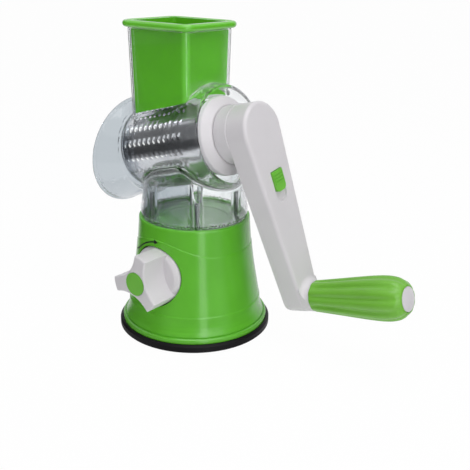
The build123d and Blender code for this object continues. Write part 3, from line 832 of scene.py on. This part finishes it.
# by place along the drum axis: the grip's radius, and how deep its grooves are
GRIP_RADIUS = smooth_table((
    (86.0, 12.8), (90.0, 13.1), (98.4, 13.8), (112.4, 15.0), (126.0, 16.2), (139.2, 17.2),
    (147.7, 17.5), (156.0, 16.9), (161.0, 15.6), (164.4, 13.6), (166.8, 11.0)))
GRIP_FLUTE = smooth_table((
    (86.0, 0.5), (90, 1.3), (98.4, 1.7), (126.0, 1.8), (147.7, 1.7), (156.0, 1.5),
    (161.0, 1.1), (166.8, 0.45)))
GROOVES, GROOVE_TURN, GROOVE_NARROWING = 10, 0.9, 1.5
# (radius, place) of the bore's ends, and the seat of the white cap
BORE_END = ((6.0, 86.0), (12.2, 86.0))
CAP_SEAT = ((9.75, 166.9), (9.5, 166.4), (9.5, 163.2), (6.0, 163.2))


def fluted_grip():
    """Turned grip with soft grooves.

    The radius is the turned one, less the groove's depth times a cosine wave of ten waves
    a turn, lifted to run from 0 to 1 and raised to the power 1.5, which narrows the grooves.
    """
    columns = 240
    angle = full_turn(columns)
    wave = (0.5 + 0.5 * np.cos(GROOVES * angle + GROOVE_TURN)) ** GROOVE_NARROWING
    places = np.concatenate((np.linspace(GRIP_START, GRIP_BULGE, 30),
                             np.linspace(GRIP_BULGE, GRIP_END, 20)[1:]))
    rows = [(0 * angle + r, u) for r, u in BORE_END]
    rows += [(np.interp(u, *GRIP_RADIUS) - np.interp(u, *GRIP_FLUTE) * wave, u)
             for u in places]
    rows += [(0 * angle + r, u) for r, u in CAP_SEAT]
    points = np.array([np.stack((THROW + r * np.cos(angle), r * np.sin(angle),
                                 0 * angle + u - ARM_INNER), -1) for r, u in rows])
    return piece("fluted_grip", arm_place(points), grid_faces(len(rows), columns, True, True),
                 GREEN_GRIP, crease=60)


shown(fluted_grip(), "grip", "green_plastic", "grip")

# ---------------------------------------------------------------- perforated drum

DRUM_R, DRUM_SHEET = 29.9, 0.5
DRUM_START, DRUM_END = -48.5, 38.0
HOLE_ROWS, HOLES_IN_ROW, HOLE_FIRST, HOLE_PITCH = 16, 12, -42.8, 5.63
HOLE_HALF, HOLE_LIFT = (1.25, 1.5), 0.5     # the hole's half sizes, and how far it sits off
TILE_ALONG, TILE_ROUND = 3, 5               # faces along and round a tile's edge
# share of the way from hole to edge, the tooth's height there, and depth in the sheet
TILE_RINGS = ((1, 0, 0), (0.66, 0, 0), (0.58, 0.03, 0), (0.30, 0.68, 0), (0, 1.15, 0),
              (0, 0.95, DRUM_SHEET), (1, 0, DRUM_SHEET))


def punched_tile():
    """Rings of (along, round, height) points about one hole.

    They run from the tile's edge over the raised tooth into the hole and out along the
    inside. The tooth's height goes with 0.35 less the sine of the turn round the hole, to
    the power 0.8, and is nought where that is below nought.
    """
    half_along, half_round = HOLE_PITCH / 2, pi * DRUM_R / HOLE_ROWS
    across = np.linspace(-half_along, half_along, TILE_ALONG + 1)
    down = np.linspace(-half_round, half_round, TILE_ROUND + 1)
    edge = np.concatenate((
        np.stack((across[:-1], np.full(TILE_ALONG, -half_round)), -1),
        np.stack((np.full(TILE_ROUND, half_along), down[:-1]), -1),
        np.stack((across[:0:-1], np.full(TILE_ALONG, half_round)), -1),
        np.stack((np.full(TILE_ROUND, -half_along), down[:0:-1]), -1)))
    turn = np.arctan2(edge[:, 1] / half_round, edge[:, 0] / half_along)
    hole = np.stack((HOLE_HALF[0] * np.cos(turn), HOLE_LIFT + HOLE_HALF[1] * np.sin(turn)), -1)
    tooth = np.clip(0.35 - np.sin(turn), 0, None) ** 0.8
    rings = []
    for share, lift, depth in TILE_RINGS:
        place = hole + (edge - hole) * share
        rings.append(np.concatenate((place, (lift * tooth - depth)[:, None]), -1))
    return np.array(rings)


def perforated_drum():
    """The punched tile repeated along and round the drum, with a plain band at either end."""
    tile = punched_tile()
    along = HOLE_FIRST + HOLE_PITCH * np.arange(HOLES_IN_ROW)
    turns = (np.arange(HOLE_ROWS) + 0.5) * 2 * pi / HOLE_ROWS
    u = tile[..., 0][None, None] + along[None, :, None, None]
    angle = tile[..., 1][None, None] / DRUM_R + turns[:, None, None, None]
    radius = DRUM_R + tile[..., 2][None, None] + 0 * u * angle
    points = [turned(radius, u, angle).reshape(-1, 3)]
    rings, columns = tile.shape[:2]
    tile_starts = np.arange(HOLE_ROWS * HOLES_IN_ROW)[:, None, None] * rings * columns
    faces = [(grid_faces(rings, columns, False, True)[None] + tile_starts).reshape(-1, 4)]

    first, last = along[0] - HOLE_PITCH / 2, along[-1] + HOLE_PITCH / 2
    inner, band_columns = DRUM_R - DRUM_SHEET, HOLE_ROWS * TILE_ROUND
    total = len(points[0])
    for start, end in ((first, DRUM_START), (last, DRUM_END)):
        profile = np.array(((DRUM_R, start), (DRUM_R, end), (inner, end), (inner, start)))
        points.append(spun(profile, band_columns).reshape(-1, 3))
        faces.append(grid_faces(4, band_columns, False, True, total))
        total += len(points[-1])
    return piece("perforated_drum", drum_place(np.concatenate(points)),
                 np.concatenate(faces), STEEL, crease=50)


shown(perforated_drum(), "drum", "drum_steel", "drum_shell")

# ---------------------------------------------------------------- stage and light

PURE_WHITE = (1.0, 1.0, 1.0)
FLOOR_REACH, FLOOR_GLOW = 6.0, 0.975
# share of a turn about the room, and how bright its wall is there
ROOM_WALLS = ((0.0, 0.05), (0.185, 0.05), (0.24, 0.34), (0.36, 0.30), (0.42, 0.45),
              (0.50, 0.75), (0.55, 0.12), (0.65, 0.12), (0.71, 0.85), (0.94, 0.85),
              (0.98, 0.08), (1.0, 0.05))
ROOM_AIR = (0.39, 0.39, 0.40)               # soft light on matt surfaces
TABLE, TABLE_FROM, TABLE_SHARPNESS = (0.95, 0.95, 0.96), 0.43, 14
CEILING_FROM, CEILING_SHARPNESS = 0.40, 9
BACKDROP_WAY = (-0.62, 0.72, -0.30)         # where the camera looks
BACKDROP_FROM, BACKDROP_SHARPNESS = 0.02, 5
BENT_AWAY = (0.62, 0.63, 0.64)              # seen through the clear plastic, off the backdrop
# name, place, aimed at, size, power
LAMPS = (("overhead", (0.30, -0.15, 1.25), (0, 0, 0.1), (1.0, 1.0), 7.8),
         ("tall_strip", (0.90, -0.62, 0.10), (0, 0, 0.1), (0.24, 1.4), 2.8),
         ("left_fill", (-0.9, -0.7, 0.5), (0, 0, 0.13), (0.9, 0.9), 0.3),
         ("right_fill", (1.1, -0.45, 0.5), (0, 0, 0.13), (0.8, 0.8), 2.1))


def make_stage():
    """Plain white floor that keeps a faint shadow. Reflections see the room instead of it."""
    mesh = bpy.data.meshes.new("floor")
    corners = ((-1, -1), (1, -1), (1, 1), (-1, 1))
    mesh.from_pydata([(x * FLOOR_REACH, y * FLOOR_REACH, 0) for x, y in corners], [],
                     [(0, 1, 2, 3)])
    floor = bpy.data.objects.new("floor", mesh)
    bpy.context.scene.collection.objects.link(floor)
    finish = material("floor")
    white = finish.node("ShaderNodeBsdfDiffuse", {}, {"Color": (0.9, 0.9, 0.9, 1)})
    glow = finish.node("ShaderNodeEmission", {}, {"Color": (*PURE_WHITE, 1), "Strength": 1.0})
    share = finish.ray("Is Camera Ray") * FLOOR_GLOW
    mesh.materials.append(finish.surface(
        finish.node("ShaderNodeMixShader", {}, {0: share, 1: white, 2: glow})))
    floor.visible_glossy = False
    floor.visible_transmission = False


def make_room():
    """World: white behind the object, and for reflections a room with dark gaps in its walls.

    Light that goes straight through the clear plastic meets the backdrop, or a greyer room
    away from it. Once it has been reflected on its way, it meets the reflections' room.
    """
    world = bpy.data.worlds.new("studio")
    bpy.context.scene.world = world
    room = Finish(world)
    direction = room.node("ShaderNodeTexCoord", output="Generated")
    around = room.node("ShaderNodeTexGradient", {"gradient_type": "RADIAL"},
                       {"Vector": direction}, output="Fac")
    walls = room.ramp(around, *((turn, (level, level, level * 1.02))
                                for turn, level in ROOM_WALLS))
    height = room.node("ShaderNodeSeparateXYZ", {}, {0: direction}, output="Z")
    table = ((height * -1 - TABLE_FROM) * TABLE_SHARPNESS).clamped()
    ceiling = ((height - CEILING_FROM) * CEILING_SHARPNESS).clamped()
    reflected = room.blend(ceiling, room.blend(table, walls, TABLE), PURE_WHITE)
    onwards = room.dot(direction, BACKDROP_WAY)
    behind = ((onwards - BACKDROP_FROM) * BACKDROP_SHARPNESS).clamped()
    straight = room.blend(behind, BENT_AWAY, PURE_WHITE)
    bounced = room.ray("Glossy Depth").clamped()
    colour = room.blend(room.ray("Is Glossy Ray"), ROOM_AIR, reflected)
    colour = room.blend(room.ray("Is Transmission Ray"), colour,
                        room.blend(bounced, straight, reflected))
    colour = room.blend(room.ray("Is Camera Ray"), colour, PURE_WHITE)
    glow = room.node("ShaderNodeBackground", {}, {"Color": colour, "Strength": 1.0})
    room.node("ShaderNodeOutputWorld", {}, {"Surface": glow})


def soft_lamp(name, place, target, size, power):
    """Rectangular lamp at a place, aimed at its target and hidden from the camera."""
    lamp = bpy.data.lights.new(name, "AREA")
    lamp.shape = "RECTANGLE"
    lamp.size, lamp.size_y = size
    lamp.energy = power
    holder = bpy.data.objects.new(name, lamp)
    holder.location = place
    holder.rotation_mode = "QUATERNION"
    holder.rotation_quaternion = (Vector(target) - Vector(place)).to_track_quat("-Z", "Y")
    bpy.context.scene.collection.objects.link(holder)
    holder.visible_camera = False


make_camera()
make_stage()
make_room()
for lamp in LAMPS:
    soft_lamp(*lamp)

scene = bpy.context.scene
scene.view_settings.view_transform = "Standard"
scene.cycles.transparent_max_bounces = 32
scene.cycles.transmission_bounces = 24
scene.cycles.max_bounces = 24
